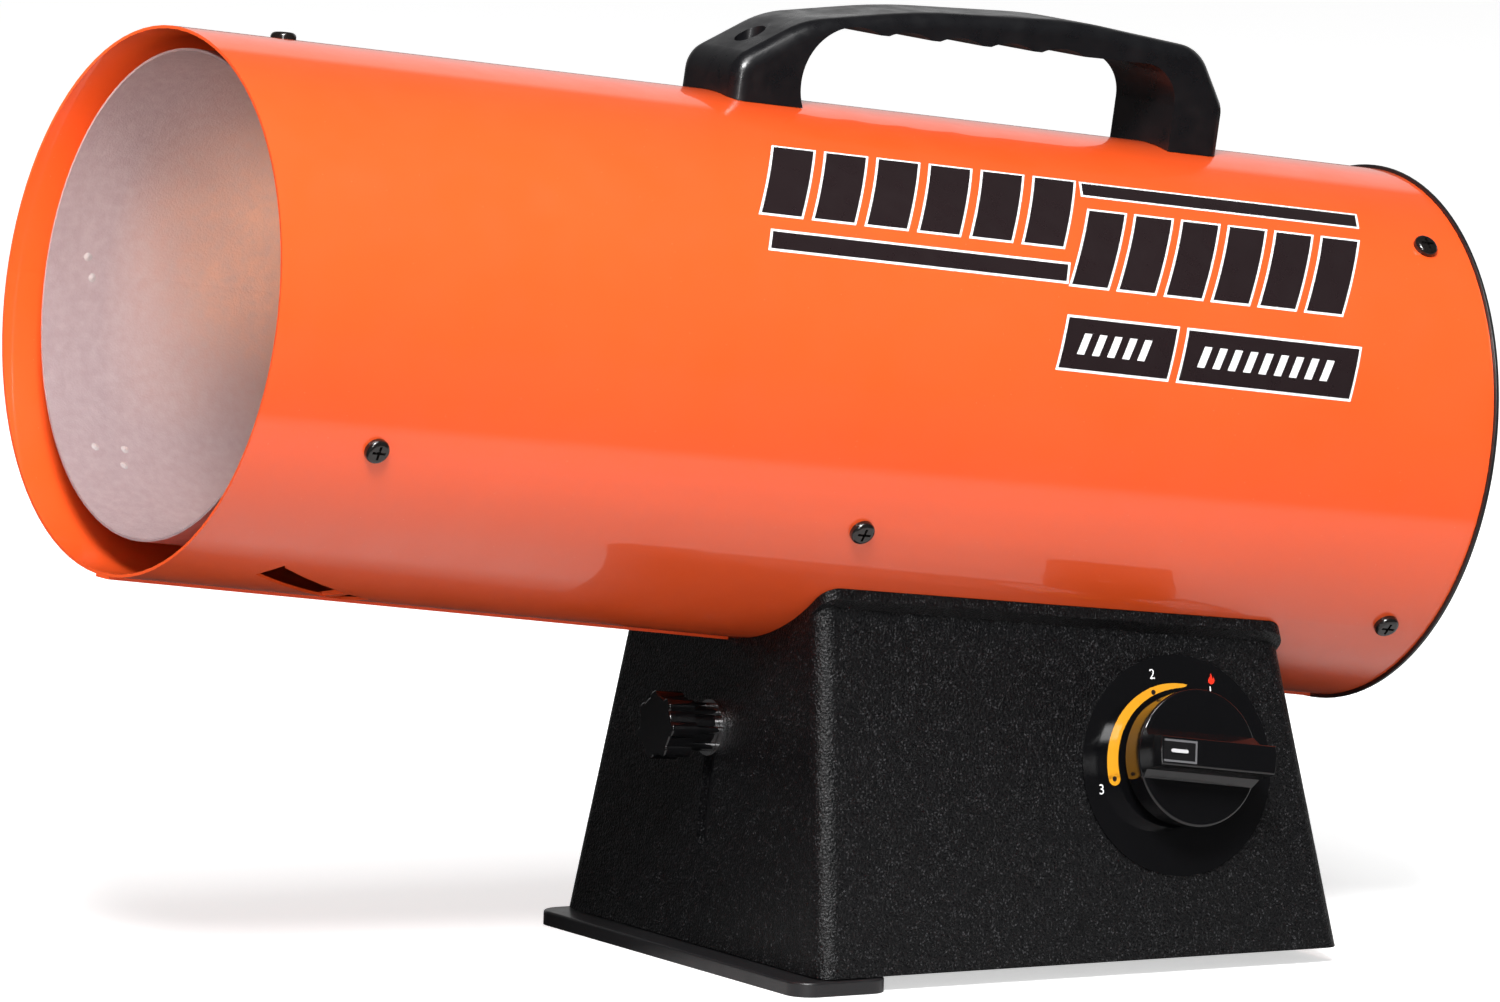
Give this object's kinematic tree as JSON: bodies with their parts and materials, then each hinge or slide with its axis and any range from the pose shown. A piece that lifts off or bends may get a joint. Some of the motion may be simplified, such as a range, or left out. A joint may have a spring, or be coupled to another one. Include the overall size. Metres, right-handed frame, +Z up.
{
  "type": "portable propane heater",
  "caption": "Portable forced-air propane heater: a tilted sheet-metal tube with a burner chamber and fan on a moulded base, with a carrying handle, gas knob, tilt clamp and foot.",
  "frame": {"origin": "on the floor, at the middle of the front foot plate's underside", "axes": "+X from the hot-air outlet to the fan end, -Y the side with the gas knob, +Z up"},
  "size_m": [0.4883, 0.1876, 0.3133],
  "materials": {
    "orange_enamel": "gloss powder coat",
    "heat_grey_sheet": "satin",
    "zinc_sheet": "zinc plated",
    "black_screw": "black oxide",
    "black_enamel": "satin powder coat",
    "guard_wire": "plated wire",
    "housing_plastic": "moulded grain",
    "handle_plastic": "satin",
    "knob_plastic": "gloss",
    "dial_print": "gloss, printed",
    "motor_can": "painted",
    "fan_sheet": "mill finish",
    "shaft_steel": "ground",
    "brass_fitting": "turned",
    "valve_alloy": "die cast",
    "burner_steel": "heat tinted",
    "white_insulator": "glazed",
    "black_rubber": "soft",
    "lead_sleeve": "woven sleeve",
    "button_plastic": "gloss"
  },
  "bodies": {
    "heater": {"base_housing": "housing_plastic", "base_plate": "zinc_sheet", "base_screws": "black_screw", "bracket_screw": "black_screw", "burner_bracket": "zinc_sheet", "burner_head": "burner_steel", "burner_plate": "heat_grey_sheet", "combustion_chamber": "heat_grey_sheet", "cord_bushing": "black_rubber", "dial_plate": "dial_print", "fan_guard": "guard_wire", "fan_motor": "motor_can", "front_shell_screws": "black_screw", "front_spacers": "zinc_sheet", "gas_inlet": "brass_fitting", "gas_orifice": "brass_fitting", "gas_tube": "valve_alloy", "gas_valve": "valve_alloy", "handle": "handle_plastic", "handle_nuts": "zinc_sheet", "handle_screws": "black_screw", "igniter_insulator": "white_insulator", "igniter_rod": "shaft_steel", "ignition_lead": "lead_sleeve", "inlet_nut": "brass_fitting", "inlet_tube": "valve_alloy", "limit_switch": "zinc_sheet", "middle_shell_screws": "black_screw", "middle_spacers": "zinc_sheet", "motor_screws": "black_screw", "orifice_elbow": "brass_fitting", "outer_shell": "orange_enamel", "piezo_body": "handle_plastic", "piezo_nut": "knob_plastic", "rear_feet": "black_rubber", "rear_rim": "black_enamel", "rear_shell_screws": "black_screw", "saddle_screws": "black_screw", "thermocouple": "brass_fitting", "thermocouple_lead": "lead_sleeve", "tube_nuts": "brass_fitting", "valve_screws": "black_screw", "venturi_tube": "burner_steel"},
    "foot": {"front_foot": "black_enamel", "clamp_stud": "shaft_steel", "clamp_washer": "shaft_steel"},
    "star_knob": {"star_knob": "knob_plastic"},
    "valve_push": {"valve_collar": "brass_fitting", "valve_spring": "shaft_steel"},
    "gas_knob": {"control_knob": "knob_plastic", "knob_insert": "dial_print", "valve_stem": "brass_fitting"},
    "fan": {"motor_shaft": "shaft_steel", "fan_impeller": "fan_sheet"},
    "piezo_button": {"piezo_button": "button_plastic"}
  },
  "joints": [
    {"name": "foot_slide", "type": "slide", "parent": "heater", "child": "foot", "axis": [-0.0797, 0, -0.9968], "range_m": [0, 0.036]},
    {"name": "star_knob_turn", "type": "hinge", "parent": "foot", "child": "star_knob", "pos_m": [-0.00249, 0, 0.0766], "axis": [-0.9968, 0, 0.0797], "range_deg": [0, 540]},
    {"name": "knob_push", "type": "slide", "parent": "heater", "child": "valve_push", "axis": [0, 0.9785, -0.2062], "range_m": [0, 0.003], "stiffness_N_per_m": 1500, "springref_m": -0.002},
    {"name": "knob_turn", "type": "hinge", "parent": "valve_push", "child": "gas_knob", "pos_m": [0.1344, -0.06952, 0.0687], "axis": [0, -0.9785, 0.2062], "range_deg": [0, 193.5]},
    {"name": "fan_spin", "type": "hinge", "parent": "heater", "child": "fan", "pos_m": [0.16438, 0, 0.17588], "axis": [0.992, 0, -0.1262], "continuous": true},
    {"name": "piezo_push", "type": "slide", "parent": "heater", "child": "piezo_button", "axis": [-0.9895, 0, -0.1444], "range_m": [0, 0.005], "stiffness_N_per_m": 600, "springref_m": -0.002}
  ]
}
